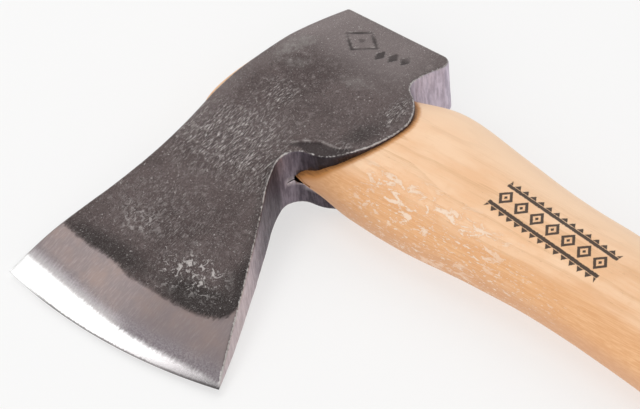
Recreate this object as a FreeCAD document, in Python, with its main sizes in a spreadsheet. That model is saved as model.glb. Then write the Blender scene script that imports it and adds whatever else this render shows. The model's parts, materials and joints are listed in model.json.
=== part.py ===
import FreeCAD, Part
import Sketcher
import math
import os

# A forged carving hatchet: a bearded steel head on a curved hickory handle, held by a wooden
# wedge in the eye and a three-legged staple across it.
#
# Drawing frame, in which the outlines are laid out:
#   x  along the handle, from the top of the head towards the knob; the top of the head is near 0
#   y  across the blade, positive towards the poll and negative towards the cutting edge
#   z  the thickness, with the middle plane of the tool at 0
# The finished pieces are then laid down as the hatchet lies on a bench, with +Z up.

DIMENSIONS = [
    # outline of the head, top side
    ("toe_x", -11.8, "toe corner of the cutting edge"),
    ("brow_flare_x", -5.2, "top line, where the flare to the toe begins"),
    ("brow_flare_y", -64.5, ""),
    ("top_front_x", -0.8, "top of the head, front end of its straight stretch"),
    ("top_front_y", -24.0, ""),
    ("top_back_y", -9.0, "back end of the straight stretch"),
    ("poll_top_x", 9.4, "end of the rounded brow at the poll"),
    ("poll_top_y", 36.4, ""),
    ("flare_radius", 227.0, "top line, outward curve at the toe"),
    ("neck_radius", 172.0, "top line, inward curve at the neck"),
    ("brow_radius", 159.0, "rounded brow from the top to the poll"),
    # outline of the head, poll side
    ("poll_face_y", 37.2, "flat striking face of the poll"),
    ("poll_flat_x", 10.6, "upper end of the flat poll face"),
    ("poll_corner_top", 1.3, "corner radius at the top of the poll"),
    ("poll_bottom_x", 48.4, "lower end of the flat poll face"),
    ("poll_heel_x", 51.8, "lower corner of the poll"),
    ("poll_heel_y", 32.5, ""),
    ("poll_corner_low", 3.6, "corner radius at the bottom of the poll"),
    # outline of the head, handle side
    ("throat_x", 48.5, "inner end of the poll's underside"),
    ("throat_y", 21.5, ""),
    ("underside_radius", 42.0, "hollow of the poll's underside"),
    ("lug_back_x", 52.0, "back of the lug"),
    ("lug_back_y", 16.0, ""),
    ("throat_radius", 6.6, "hollow between the poll and the lug"),
    ("lug_tip_x", 58.6, "tip of the lug"),
    ("lug_tip_y", 4.5, ""),
    ("lug_back_radius", 15.5, ""),
    ("lug_front_x", 50.6, "front of the lug"),
    ("lug_front_y", -15.2, ""),
    ("lug_radius", 36.0, ""),
    ("beard_top_x", 40.2, "where the lug runs into the notch"),
    ("beard_top_y", -21.6, ""),
    ("lug_front_radius", 14.0, ""),
    ("notch_x", 34.2, "deepest point of the beard"),
    ("notch_y", -29.8, ""),
    ("notch_radius", 6.5, ""),
    ("beard_x", 39.9, "end of the hollow stretch of the beard"),
    ("beard_y", -42.4, ""),
    ("beard_radius", 55.0, ""),
    ("beard_flat_radius", 900.0, "very slight outward curve down to the heel"),
    ("heel_x", 69.5, "heel corner of the cutting edge"),
    # cutting edge: one arc about a point behind the poll
    ("edge_radius", 182.0, "curve of the cutting edge"),
    ("edge_centre_x", 22.3, ""),
    ("edge_centre_y", 75.6, ""),
    ("edge_half_land", 0.15, "half thickness left at the cutting edge"),
    ("bevel_rise", 0.19, "rise of the ground bevel per millimetre from the edge"),
    ("bevel_reach", 40.0, "how far in the bevel is ground before it runs out"),
    # thickness of the head
    ("cheek_half", 12.8, "half thickness at the eye"),
    ("wedge_start_y", -17.0, "where the blade begins to thin towards the edge"),
    ("wedge_angle", 7.2, "slope of each side of the blade, degrees"),
    ("poll_start_y", 15.0, "where the head begins to thin towards the poll"),
    ("poll_half", 10.3, "half thickness at the poll"),
    # fit of the handle in the eye
    ("eye_clearance", 0.1, "gap around the tongue"),
    ("tongue_top_x", -2.4, "top of the tongue, on the centre line of the eye"),
    ("tongue_top_angle", 8.9, "slant of the top of the tongue, degrees"),
    # wooden wedge in the kerf
    ("kerf_half", 0.4, "half width of the saw kerf"),
    ("kerf_end_x", 42.0, "bottom of the kerf"),
    ("wedge_tip_x", 34.0, "thin end of the wedge"),
    ("wedge_taper", 0.058, "widening of half the wedge per millimetre"),
    # three-legged staple
    ("staple_length", 21.0, "length of the staple's bar"),
    ("staple_thick", 2.2, "thickness of the steel strip"),
    ("staple_bar", 3.2, "depth of the bar"),
    ("staple_leg", 14.0, "length of each leg below the bar"),
    ("staple_leg_wide", 4.6, "width of a leg at the bar"),
    ("staple_proud", 0.5, "how far the bar stands above the tongue"),
    ("staple_turn", 32.0, "angle of the staple across the wedge, degrees"),
    ("staple_middle_y", 0.5, "middle of the bar across the tongue"),
    # room left around shapes that are cut away or trimmed
    ("cut_margin", 4.0, "how far cutting outlines run past the metal"),
    ("stock_spare", 10.0, "extra length and half width of the strips before they are trimmed"),
]

# Oval sections of the handle: distance along it, front and back of the oval, half thickness.
HANDLE_SECTIONS = [
    ("tongue_top", -6.0, -20.0, 21.0, 9.2),
    ("tongue_upper", 4.0, -19.8, 20.8, 8.9),
    ("tongue_middle", 13.0, -19.5, 20.5, 8.6),
    ("tongue_lower", 21.0, -19.5, 20.5, 8.5),
    ("tongue_foot", 29.0, -20.2, 20.5, 8.6),
    ("shoulder_front", 37.0, -23.4, 20.5, 9.4),
    ("shoulder_back", 46.0, -24.6, 20.6, 10.5),
    ("lug_mouth", 54.0, -25.7, 22.8, 11.3),
    ("swell", 62.0, -26.5, 25.1, 12.0),
    ("swell_crest", 70.0, -27.1, 25.4, 12.4),
    ("neck_start", 82.0, -27.2, 23.4, 12.6),
    ("neck", 98.0, -26.0, 20.2, 12.4),
    ("upper_grip", 118.0, -25.4, 16.9, 12.2),
    ("grip_start", 140.0, -26.6, 14.7, 12.0),
    ("grip", 168.0, -30.0, 9.2, 11.6),
    ("grip_middle", 204.0, -34.8, 2.6, 11.2),
    ("belly", 240.0, -35.4, -0.6, 11.0),
    ("grip_end", 275.0, -31.8, 0.2, 11.1),
    ("wrist", 303.0, -31.0, 3.4, 11.6),
    ("knob_start", 325.0, -34.6, 6.6, 12.4),
    ("knob", 341.0, -39.2, 8.2, 12.62),
    ("knob_round", 348.0, -39.4, 7.6, 11.9),
    ("knob_end", 350.5, -37.6, 5.8, 10.6),
]

doc = FreeCAD.newDocument("carving_hatchet")
sheet = doc.addObject("Spreadsheet::Sheet", "Dimensions")


def fill_sheet():
    """Writes every driving dimension with its name, and the handle's sections below them."""
    rows = list(DIMENSIONS)
    for name, along, front, back, half in HANDLE_SECTIONS:
        rows.append((name + "_along", along, "handle section, distance along the handle"))
        rows.append((name + "_front", front, "front of the oval"))
        rows.append((name + "_back", back, "back of the oval"))
        rows.append((name + "_half", half, "half thickness of the oval"))
    for number, (alias, value, note) in enumerate(rows, start=1):
        sheet.set("A%d" % number, alias)
        sheet.set("B%d" % number, str(value))
        sheet.setAlias("B%d" % number, alias)
        sheet.set("C%d" % number, note)
    doc.recompute()


def cell(alias):
    """The value of one driving dimension."""
    return float(getattr(sheet, alias))


def bind(thing, target, formula):
    """Binds one property of an object to the sheet; names in braces are dimensions."""
    thing.setExpression(target, formula.replace("{", "Dimensions.").replace("}", ""))


def origin_plane(body, role):
    """One of the body's own origin planes."""
    for feature in body.Origin.OriginFeatures:
        if feature.Role == role:
            return feature
    raise ValueError("no plane " + role)


def new_sketch(body, name, role):
    sketch = body.newObject("Sketcher::SketchObject", name)
    sketch.AttachmentSupport = [(origin_plane(body, role), "")]
    sketch.MapMode = "FlatFace"
    return sketch


def place(sketch, geometry, end, x_formula, y_formula):
    """Ties one end of a sketch line or arc to the sheet, across and up from the sketch's zero."""
    for kind, formula in (("DistanceX", x_formula), ("DistanceY", y_formula)):
        if formula is None:
            continue
        point = sketch.getPoint(geometry, end)
        value = point.x if kind == "DistanceX" else point.y
        number = sketch.addConstraint(Sketcher.Constraint(kind, -1, 1, geometry, end, value))
        bind(sketch, "Constraints[%d]" % number, formula)


def polygon(sketch, corners):
    """A closed outline of straight lines; each corner is (x, y, x formula, y formula)."""
    points = [FreeCAD.Vector(corner[0], corner[1], 0) for corner in corners]
    for number, point in enumerate(points):
        following = points[(number + 1) % len(points)]
        sketch.addGeometry(Part.LineSegment(point, following), False)
    for number in range(len(points)):
        following = (number + 1) % len(points)
        sketch.addConstraint(Sketcher.Constraint("Coincident", number, 2, following, 1))
    for number, corner in enumerate(corners):
        place(sketch, number, 1, corner[2], corner[3])


def arc_between(start, finish, radius, bulge):
    """The short arc from start to finish; bulge is +1 if it lies left of the way, else -1."""
    chord = finish.sub(start)
    half = chord.Length / 2.0
    rise = radius - math.sqrt(radius * radius - half * half)
    left = FreeCAD.Vector(-chord.y, chord.x, 0).normalize()
    middle = start.add(chord.multiply(0.5)).add(left.multiply(bulge * rise))
    return Part.Arc(start, middle, finish)


# --------------------------------------------------------------------------- head

LEFT, RIGHT, STRAIGHT = 1, -1, 0

# The outline's corners from the toe round by the poll to the heel: the cells that hold x and y,
# then how the outline goes on from that corner, and with which radius.
HEAD_OUTLINE = [
    ("toe_x", None, LEFT, "flare_radius"),
    ("brow_flare_x", "brow_flare_y", RIGHT, "neck_radius"),
    ("top_front_x", "top_front_y", STRAIGHT, None),
    ("top_front_x", "top_back_y", LEFT, "brow_radius"),
    ("poll_top_x", "poll_top_y", LEFT, "poll_corner_top"),
    ("poll_flat_x", "poll_face_y", STRAIGHT, None),
    ("poll_bottom_x", "poll_face_y", LEFT, "poll_corner_low"),
    ("poll_heel_x", "poll_heel_y", RIGHT, "underside_radius"),
    ("throat_x", "throat_y", RIGHT, "throat_radius"),
    ("lug_back_x", "lug_back_y", LEFT, "lug_back_radius"),
    ("lug_tip_x", "lug_tip_y", LEFT, "lug_radius"),
    ("lug_front_x", "lug_front_y", LEFT, "lug_front_radius"),
    ("beard_top_x", "beard_top_y", RIGHT, "notch_radius"),
    ("notch_x", "notch_y", RIGHT, "beard_radius"),
    ("beard_x", "beard_y", LEFT, "beard_flat_radius"),
    ("heel_x", None, None, "edge_radius"),
]


def edge_point(x_cell):
    """A corner of the cutting edge, on the edge's own arc."""
    across = cell(x_cell) - cell("edge_centre_x")
    down = math.sqrt(cell("edge_radius") ** 2 - across ** 2)
    return FreeCAD.Vector(cell(x_cell), cell("edge_centre_y") - down, 0)


def draw_head_outline(sketch):
    corners = []
    for x_name, y_name, turn, radius in HEAD_OUTLINE:
        if y_name is None:
            corners.append(edge_point(x_name))
        else:
            corners.append(FreeCAD.Vector(cell(x_name), cell(y_name), 0))
    first_end = []
    for number, (x_name, y_name, turn, radius) in enumerate(HEAD_OUTLINE):
        start = corners[number]
        finish = corners[(number + 1) % len(corners)]
        if turn == STRAIGHT:
            curve = Part.LineSegment(start, finish)
        elif turn is None:
            centre = FreeCAD.Vector(cell("edge_centre_x"), cell("edge_centre_y"), 0)
            low = centre.sub(FreeCAD.Vector(0, cell("edge_radius"), 0))
            curve = Part.Arc(start, low, finish)
        else:
            curve = arc_between(start, finish, cell(radius), turn)
        sketch.addGeometry(curve, False)
        begins = sketch.getPoint(number, 1).distanceToPoint(start)
        first_end.append(1 if begins < 1e-6 else 2)
    for number in range(len(corners)):
        following = (number + 1) % len(corners)
        last_end = 3 - first_end[number]
        link = Sketcher.Constraint("Coincident", number, last_end, following, first_end[following])
        sketch.addConstraint(link)
    for number, (x_name, y_name, turn, radius) in enumerate(HEAD_OUTLINE):
        y_formula = None if y_name is None else "{" + y_name + "}"
        place(sketch, number, first_end[number], "{" + x_name + "}", y_formula)
        if turn == STRAIGHT:
            continue
        size = Sketcher.Constraint("Radius", number, cell(radius))
        bind(sketch, "Constraints[%d]" % sketch.addConstraint(size), "{" + radius + "}")
    place(sketch, len(corners) - 1, 3, "{edge_centre_x}", "{edge_centre_y}")


def make_head_blank():
    """The forging before the eye is punched: outline, tapered sides and ground bevels."""
    body = doc.addObject("PartDesign::Body", "head_blank")
    outline = new_sketch(body, "head_outline", "XY_Plane")
    draw_head_outline(outline)
    doc.recompute()
    slab = body.newObject("PartDesign::Pad", "head_slab")
    slab.Profile = outline
    slab.Midplane = True
    bind(slab, "Length", "2 * {cheek_half}")
    doc.recompute()

    # everything outside one tapered side of the blade, seen along x: y across, z up
    side = new_sketch(body, "blade_taper", "YZ_Plane")
    above = "{cheek_half} + {cut_margin}"
    past_edge = "{edge_centre_y} - {edge_radius} - {cut_margin}"
    drop = "{cheek_half} - ({wedge_start_y} - (%s)) * tan({wedge_angle} * 1 deg)" % past_edge
    margin = cell("cut_margin")
    far = cell("edge_centre_y") - cell("edge_radius") - margin
    top = cell("cheek_half") + margin
    low = cell("cheek_half")
    low -= (cell("wedge_start_y") - far) * math.tan(math.radians(cell("wedge_angle")))
    polygon(side, [
        (cell("wedge_start_y"), cell("cheek_half"), "{wedge_start_y}", "{cheek_half}"),
        (cell("wedge_start_y"), top, "{wedge_start_y}", above),
        (far, top, past_edge, above),
        (far, low, past_edge, drop),
    ])
    blade_cut = body.newObject("PartDesign::Pocket", "blade_side")
    blade_cut.Profile = side
    blade_cut.Type = "ThroughAll"
    blade_cut.Midplane = True
    doc.recompute()

    taper = new_sketch(body, "poll_taper", "YZ_Plane")
    past_face = cell("poll_face_y") + margin
    past_face_formula = "{poll_face_y} + {cut_margin}"
    polygon(taper, [
        (cell("poll_start_y"), cell("cheek_half"), "{poll_start_y}", "{cheek_half}"),
        (cell("poll_face_y"), cell("poll_half"), "{poll_face_y}", "{poll_half}"),
        (past_face, cell("poll_half"), past_face_formula, "{poll_half}"),
        (past_face, top, past_face_formula, above),
        (cell("poll_start_y"), top, "{poll_start_y}", above),
    ])
    poll_cut = body.newObject("PartDesign::Pocket", "poll_side")
    poll_cut.Profile = taper
    poll_cut.Type = "ThroughAll"
    poll_cut.Midplane = True
    doc.recompute()

    # the bevel is a cone about the centre of the edge's arc, so it meets the edge all along it
    grind = new_sketch(body, "bevel_profile", "XZ_Plane")
    bind(grind, ".AttachmentOffset.Base.z", "-{edge_centre_y}")
    doc.recompute()
    edge = cell("edge_centre_x") + cell("edge_radius")
    outer = edge + margin
    inner = edge - cell("bevel_reach")
    land = cell("edge_half_land") - cell("bevel_rise") * margin
    rise = cell("edge_half_land") + cell("bevel_rise") * cell("bevel_reach")
    outer_formula = "{edge_centre_x} + {edge_radius} + {cut_margin}"
    inner_formula = "{edge_centre_x} + {edge_radius} - {bevel_reach}"
    land_formula = "{edge_half_land} - {bevel_rise} * {cut_margin}"
    rise_formula = "{edge_half_land} + {bevel_rise} * {bevel_reach}"
    polygon(grind, [
        (outer, land, outer_formula, land_formula),
        (outer, top, outer_formula, above),
        (inner, top, inner_formula, above),
        (inner, rise, inner_formula, rise_formula),
    ])
    axis_low = FreeCAD.Vector(cell("edge_centre_x"), -cell("cheek_half"), 0)
    axis_high = FreeCAD.Vector(cell("edge_centre_x"), cell("cheek_half"), 0)
    axis = grind.addGeometry(Part.LineSegment(axis_low, axis_high), True)
    place(grind, axis, 1, "{edge_centre_x}", "-{cheek_half}")
    place(grind, axis, 2, "{edge_centre_x}", "{cheek_half}")
    bevel = body.newObject("PartDesign::Groove", "ground_bevel")
    bevel.Profile = grind
    bevel.ReferenceAxis = (grind, ["Axis0"])
    bevel.Angle = 360
    doc.recompute()

    both = body.newObject("PartDesign::Mirrored", "both_sides")
    both.Originals = [blade_cut, poll_cut, bevel]
    both.MirrorPlane = (origin_plane(body, "XY_Plane"), [""])
    body.Tip = both
    doc.recompute()
    return body


# ------------------------------------------------------------------------- handle

def make_oval_loft(name, extra):
    """A solid through the handle's oval sections, each larger all round by the extra formula."""
    ovals = []
    for section in HANDLE_SECTIONS:
        oval = doc.addObject("Part::Ellipse", name + "_" + section[0])
        front = "{%s_front}" % section[0]
        back = "{%s_back}" % section[0]
        bind(oval, "MajorRadius", "(%s - %s) / 2 + %s" % (back, front, extra))
        bind(oval, "MinorRadius", "{%s_half} + %s" % (section[0], extra))
        # the oval's long axis lies along y and its normal along x
        oval.Placement.Rotation = FreeCAD.Rotation(
            FreeCAD.Vector(0, 1, 0), FreeCAD.Vector(0, 0, 1), FreeCAD.Vector(1, 0, 0), "XYZ")
        bind(oval, ".Placement.Base.x", "{%s_along}" % section[0])
        bind(oval, ".Placement.Base.y", "(%s + %s) / 2" % (back, front))
        ovals.append(oval)
    loft = doc.addObject("Part::Loft", name)
    loft.Sections = ovals
    loft.Solid = True
    doc.recompute()
    return loft


def make_wedge_stock():
    """The tapered strip of hardwood that spreads the tongue, before it is trimmed to the eye."""
    body = doc.addObject("PartDesign::Body", "wedge_stock")
    sketch = new_sketch(body, "wedge_profile", "XZ_Plane")
    top_x = cell("tongue_top_x") - cell("stock_spare")
    tip_x = cell("wedge_tip_x")
    thin = cell("kerf_half")
    thick = thin + (tip_x - top_x) * cell("wedge_taper")
    top_formula = "{tongue_top_x} - {stock_spare}"
    length_formula = "({wedge_tip_x} - {tongue_top_x} + {stock_spare})"
    thick_formula = "{kerf_half} + %s * {wedge_taper}" % length_formula
    polygon(sketch, [
        (top_x, thick, top_formula, thick_formula),
        (tip_x, thin, "{wedge_tip_x}", "{kerf_half}"),
        (tip_x, -thin, "{wedge_tip_x}", "-{kerf_half}"),
        (top_x, -thick, top_formula, "-(%s)" % thick_formula),
    ])
    strip = body.newObject("PartDesign::Pad", "wedge_strip")
    strip.Profile = sketch
    strip.Midplane = True
    bind(strip, "Length", "{tongue_top_back} - {tongue_top_front} + 2 * {stock_spare}")
    doc.recompute()
    return body


def make_kerf():
    """The thin saw cut along the tongue, a little deeper than the wedge is driven."""
    slot = doc.addObject("Part::Box", "kerf")
    bind(slot, "Length", "{kerf_end_x} - {tongue_top_x} + {stock_spare}")
    bind(slot, "Width", "{tongue_top_back} - {tongue_top_front} + 2 * {stock_spare}")
    bind(slot, "Height", "2 * {kerf_half}")
    bind(slot, ".Placement.Base.x", "{tongue_top_x} - {stock_spare}")
    bind(slot, ".Placement.Base.y", "{tongue_top_front} - {stock_spare}")
    bind(slot, ".Placement.Base.z", "-{kerf_half}")
    return slot


TRIM_REACH = 60.0                   # the trimming block runs this far from the eye, past all wood


def make_tongue_trim():
    """A block whose lower face is the slanted top of the tongue."""
    trim = doc.addObject("Part::Box", "tongue_trim")
    trim.Length = TRIM_REACH
    trim.Width = 2 * TRIM_REACH
    trim.Height = 2 * TRIM_REACH
    slant = FreeCAD.Rotation(FreeCAD.Vector(0, 0, 1), -cell("tongue_top_angle"))
    corner = slant.multVec(FreeCAD.Vector(-TRIM_REACH, -TRIM_REACH, -TRIM_REACH))
    corner.x += cell("tongue_top_x")
    trim.Placement = FreeCAD.Placement(corner, slant)
    return trim


def make_staple(name):
    """Three tapered legs under one bar, drawn flat: x into the wood, y along the bar."""
    body = doc.addObject("PartDesign::Body", name)
    sketch = new_sketch(body, name + "_outline", "XY_Plane")
    half = cell("staple_length") / 2
    bar = cell("staple_bar")
    leg = cell("staple_leg_wide")
    point = bar + cell("staple_leg")
    half_formula = "{staple_length} / 2"
    leg_formula = "{staple_leg_wide}"
    point_formula = "{staple_bar} + {staple_leg}"
    # the outer legs come to a point below the bar's ends, the middle leg below its centre
    polygon(sketch, [
        (0, -half, "0", "-" + half_formula),
        (point, -half, point_formula, "-" + half_formula),
        (bar, -half + leg, "{staple_bar}", "-%s + %s" % (half_formula, leg_formula)),
        (bar, -leg / 2, "{staple_bar}", "-%s / 2" % leg_formula),
        (point, 0, point_formula, "0"),
        (bar, leg / 2, "{staple_bar}", "%s / 2" % leg_formula),
        (bar, half - leg, "{staple_bar}", "%s - %s" % (half_formula, leg_formula)),
        (point, half, point_formula, half_formula),
        (0, half, "0", half_formula),
    ])
    strip = body.newObject("PartDesign::Pad", name + "_strip")
    strip.Profile = sketch
    strip.Midplane = True
    bind(strip, "Length", "{staple_thick}")
    doc.recompute()
    return body


def staple_placement():
    """Where the staple sits: turned across the wedge and square to the top of the tongue."""
    across = FreeCAD.Rotation(FreeCAD.Vector(1, 0, 0), cell("staple_turn"))
    slant = FreeCAD.Rotation(FreeCAD.Vector(0, 0, 1), -cell("tongue_top_angle"))
    top = FreeCAD.Vector(cell("tongue_top_x") - cell("staple_proud"), cell("staple_middle_y"), 0)
    return FreeCAD.Placement(top, slant.multiply(across))


def cut_away(name, base, tools):
    """The base with each tool cut away in turn; the last result carries the piece's name."""
    result = base
    for number, tool in enumerate(tools, start=1):
        last = number == len(tools)
        step = doc.addObject("Part::Cut", name if last else "%s_cut_%d" % (name, number))
        step.Base = result
        step.Tool = tool
        doc.recompute()
        result = step
    return result


def resting_placement(pieces):
    """
    Where the tool lies on a bench: turned about the handle's direction until the lower side of
    the blade is level, with the origin under the middle of the whole tool's bounding box.
    """
    level = FreeCAD.Rotation(FreeCAD.Vector(1, 0, 0), cell("wedge_angle"))
    laid = Part.makeCompound([piece.Shape for piece in pieces])
    laid.Placement = FreeCAD.Placement(FreeCAD.Vector(), level)
    box = laid.optimalBoundingBox()
    under_middle = FreeCAD.Vector(-box.Center.x, -box.Center.y, -box.ZMin)
    return FreeCAD.Placement(under_middle, level)


def check_document(pieces):
    """Stops if any object failed to compute, or if a piece is not one sound solid."""
    for thing in doc.Objects:
        for state in ("Invalid", "Error"):
            if state in thing.State:
                raise RuntimeError("%s is %s" % (thing.Name, state))
    for piece in pieces:
        if piece.Shape.isNull() or not piece.Shape.isValid() or len(piece.Shape.Solids) != 1:
            raise RuntimeError("%s is not one valid solid" % piece.Label)


# ----------------------------------------------------------------------- assembly

fill_sheet()

head_blank = make_head_blank()
eye = make_oval_loft("eye", "{eye_clearance}")
head = cut_away("head", head_blank, [eye])

handle_stock = make_oval_loft("handle_stock", "0")
wedge_stock = make_wedge_stock()
kerf = make_kerf()
tongue_trim = make_tongue_trim()
staple_socket = make_staple("staple_socket")
staple_socket.Placement = staple_placement()
doc.recompute()
handle = cut_away("handle", handle_stock, [tongue_trim, wedge_stock, kerf, staple_socket])

eye_wedge = doc.addObject("Part::Common", "eye_wedge")
eye_wedge.Base = cut_away("wedge_trimmed", wedge_stock, [tongue_trim, staple_socket])
eye_wedge.Tool = handle_stock

eye_staple = make_staple("eye_staple")
eye_staple.Placement = staple_placement()
doc.recompute()

pieces = [head, handle, eye_wedge, eye_staple]
resting = resting_placement(pieces)
for piece in pieces:
    piece.Placement = resting.multiply(piece.Placement)
    piece.Label = piece.Name
doc.recompute()
check_document(pieces)

os.makedirs("parts", exist_ok=True)
for piece in pieces:
    piece.Shape.exportStep("parts/%s.step" % piece.Label)
    box = piece.Shape.optimalBoundingBox()
    print(piece.Label, round(piece.Shape.Volume / 1000, 2), "cm3", box)
print("resting placement", resting)
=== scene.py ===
import json
import math
import bmesh
import bpy
import numpy as np
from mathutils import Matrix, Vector

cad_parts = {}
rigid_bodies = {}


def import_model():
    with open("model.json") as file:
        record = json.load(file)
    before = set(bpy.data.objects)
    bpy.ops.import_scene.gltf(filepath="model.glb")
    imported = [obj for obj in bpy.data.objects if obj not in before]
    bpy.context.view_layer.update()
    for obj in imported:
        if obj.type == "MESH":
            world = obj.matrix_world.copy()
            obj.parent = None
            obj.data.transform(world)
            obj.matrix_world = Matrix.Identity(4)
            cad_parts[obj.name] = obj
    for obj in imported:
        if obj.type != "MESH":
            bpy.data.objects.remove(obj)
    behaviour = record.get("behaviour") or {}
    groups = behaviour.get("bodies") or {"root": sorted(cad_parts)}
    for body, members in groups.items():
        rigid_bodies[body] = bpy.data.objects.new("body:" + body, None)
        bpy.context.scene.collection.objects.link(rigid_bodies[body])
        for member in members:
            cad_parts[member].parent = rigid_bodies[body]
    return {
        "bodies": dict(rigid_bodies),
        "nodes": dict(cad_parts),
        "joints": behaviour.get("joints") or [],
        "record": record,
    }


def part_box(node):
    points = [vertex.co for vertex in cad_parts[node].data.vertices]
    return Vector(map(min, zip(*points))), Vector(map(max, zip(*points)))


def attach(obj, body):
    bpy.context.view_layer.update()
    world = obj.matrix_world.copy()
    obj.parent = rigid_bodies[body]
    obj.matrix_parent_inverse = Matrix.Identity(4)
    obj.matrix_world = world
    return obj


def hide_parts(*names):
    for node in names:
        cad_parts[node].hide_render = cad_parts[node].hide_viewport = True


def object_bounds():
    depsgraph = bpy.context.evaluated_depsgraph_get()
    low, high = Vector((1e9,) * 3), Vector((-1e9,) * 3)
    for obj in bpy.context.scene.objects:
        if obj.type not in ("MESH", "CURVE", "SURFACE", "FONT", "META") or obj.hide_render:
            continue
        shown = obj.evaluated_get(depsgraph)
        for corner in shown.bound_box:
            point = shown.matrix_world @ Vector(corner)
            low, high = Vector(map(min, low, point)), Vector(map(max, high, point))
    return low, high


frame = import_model()
cad_low, cad_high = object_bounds()

# Shapes are worked out in millimetres in the drawing frame of the tool and then laid down:
#   x along the handle from the top of the head, y towards the poll, z the thickness.
MM = 0.001
TILT = math.radians(7.2)  # the tool lies on one tapered side of its blade
TOE_X = -11.8  # toe corner of the cutting edge
POLL_FACE_Y = 37.2
POLL_HALF = 10.3  # half thickness at the poll
CHEEK_HALF = 12.8  # half thickness at the eye
WEDGE_START_Y = -17.0  # the blade thins from here to the edge
POLL_START_Y = 15.0  # the head thins from here to the poll
EDGE_CENTRE = np.array([22.3, 75.6])
EDGE_RADIUS = 182.0


def laid_origin():
    """Where the drawing frame's zero lies in the row frame, from the corners of the CAD head."""
    low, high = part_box("head")
    poll_reach = POLL_FACE_Y * math.cos(TILT) + POLL_HALF * math.sin(TILT)
    side_depth = CHEEK_HALF * math.cos(TILT) - WEDGE_START_Y * math.sin(TILT)
    return Vector((low.x - TOE_X * MM, high.y - poll_reach * MM, low.z + side_depth * MM))


ORIGIN = laid_origin()


def lay_down(points):
    """Drawing frame in millimetres to row frame in metres, for an array of points."""
    points = np.asarray(points, float)
    cosine, sine = math.cos(TILT), math.sin(TILT)
    x = points[:, 0]
    y = points[:, 1] * cosine - points[:, 2] * sine
    z = points[:, 1] * sine + points[:, 2] * cosine
    return np.stack([x, y, z], 1) * MM + np.array(ORIGIN)


# ---- small tools

def rise(value, low, high):
    """0 below low, 1 above high, smooth between."""
    part = np.clip((value - low) / (high - low), 0.0, 1.0)
    return part * part * (3.0 - 2.0 * part)


def fade(value, low, high):
    """1 below low, 0 above high, smooth between."""
    return 1.0 - rise(value, low, high)


def between(value, low, full, last, high):
    """1 from full to last, smoothly down to 0 at low and at high."""
    return rise(value, low, full) * fade(value, last, high)


def smooth_min(a, b, width):
    """The lower of two heights, with the crease between them rounded over a width."""
    share = np.clip(0.5 + 0.5 * (b - a) / width, 0.0, 1.0)
    return b + (a - b) * share - width * share * (1.0 - share)


class Noise:
    """Smooth repeatable noise from -1 to 1, the same again after a number of cells."""

    cells = 32
    shift = 7.3  # keeps the drawing's zero off the corners of the cells

    def __init__(self, seed):
        self.table = np.random.default_rng(seed).uniform(-1.0, 1.0, (self.cells,) * 3)

    def __call__(self, x, y, z, size):
        places = [np.asarray(value, float) / size + self.shift for value in (x, y, z)]
        places = np.broadcast_arrays(*places)
        whole = [np.floor(value).astype(int) for value in places]
        parts = [rise(value - base, 0.0, 1.0) for value, base in zip(places, whole)]
        total = 0.0
        for corner in np.ndindex(2, 2, 2):
            weight = 1.0
            for share, far in zip(parts, corner):
                weight = weight * (share if far else 1 - share)
            cell = tuple((base + far) % self.cells for base, far in zip(whole, corner))
            total = total + weight * self.table[cell]
        return total


def spline(knots, values, at):
    """Natural cubic spline through the values at the knots."""
    count = len(knots)
    step = np.diff(knots)
    system = np.eye(count)
    for row in range(1, count - 1):
        system[row, row - 1:row + 2] = step[row - 1], 2.0 * (step[row - 1] + step[row]), step[row]
    right = np.zeros(count)
    right[1:-1] = 6.0 * np.diff(np.diff(values) / step)
    bend = np.linalg.solve(system, right)
    span = np.clip(np.searchsorted(knots, at) - 1, 0, count - 2)
    width = step[span]
    before = (knots[span + 1] - at) / width
    after = (at - knots[span]) / width
    curved = (before ** 3 - before) * bend[span] + (after ** 3 - after) * bend[span + 1]
    return before * values[span] + after * values[span + 1] + curved * width ** 2 / 6.0


def nearest_distance(places, targets):
    """Distance from each place to the nearest target, in the plan or in space."""
    nearest = np.full(len(places), np.inf)
    for target in targets:
        nearest = np.minimum(nearest, ((places - target) ** 2).sum(1))
    return np.sqrt(nearest)


# ---- mesh tools

def sheet_faces(grid):
    """Quads between neighbouring rows and columns of vertex numbers."""
    corners = (grid[:-1, :-1], grid[1:, :-1], grid[1:, 1:], grid[:-1, 1:])
    return np.stack(corners, -1).reshape(-1, 4)


def ring_faces(grid):
    """Quads between closed rings of vertex numbers, one ring to a row."""
    return sheet_faces(np.column_stack([grid, grid[:, 0]]))


def border(grid):
    """The vertex numbers round the border of a grid, in order."""
    return np.concatenate([grid[:, 0], grid[-1, 1:-1], grid[::-1, -1], grid[0, -2:0:-1]])


def add_object(name, data):
    thing = bpy.data.objects.new(name, data)
    bpy.context.scene.collection.objects.link(thing)
    return thing


def mesh_object(name, points, *groups):
    """A smooth-shaded object from drawing points and groups of faces, which it turns outwards."""
    faces = [face for group in groups for face in np.asarray(group).tolist()]
    mesh = bpy.data.meshes.new(name)
    mesh.from_pydata((np.asarray(points) * MM).tolist(), [], faces)
    mesh.validate()
    shape = bmesh.new()
    shape.from_mesh(mesh)
    bmesh.ops.recalc_face_normals(shape, faces=shape.faces)
    shape.to_mesh(mesh)
    shape.free()
    mesh.shade_smooth()
    return add_object(name, mesh)


def read(items, name, width=1, kind=float):
    """One value, or a row of values, for each vertex, face or corner of a mesh."""
    flat = np.empty(len(items) * width, kind)
    items.foreach_get(name, flat)
    return flat if width == 1 else flat.reshape(-1, width)


def drawing_points(piece):
    """The vertices of a piece that is still in the drawing frame, in millimetres."""
    return read(piece.data.vertices, "co", 3) / MM


def keep_values(piece, domain="POINT", **values):
    """Stores a number for each vertex or face under a name, for the material to read."""
    for name, numbers in values.items():
        layer = piece.data.attributes.new(name, "FLOAT", domain)
        layer.data.foreach_set("value", np.asarray(numbers, np.float32))


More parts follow.
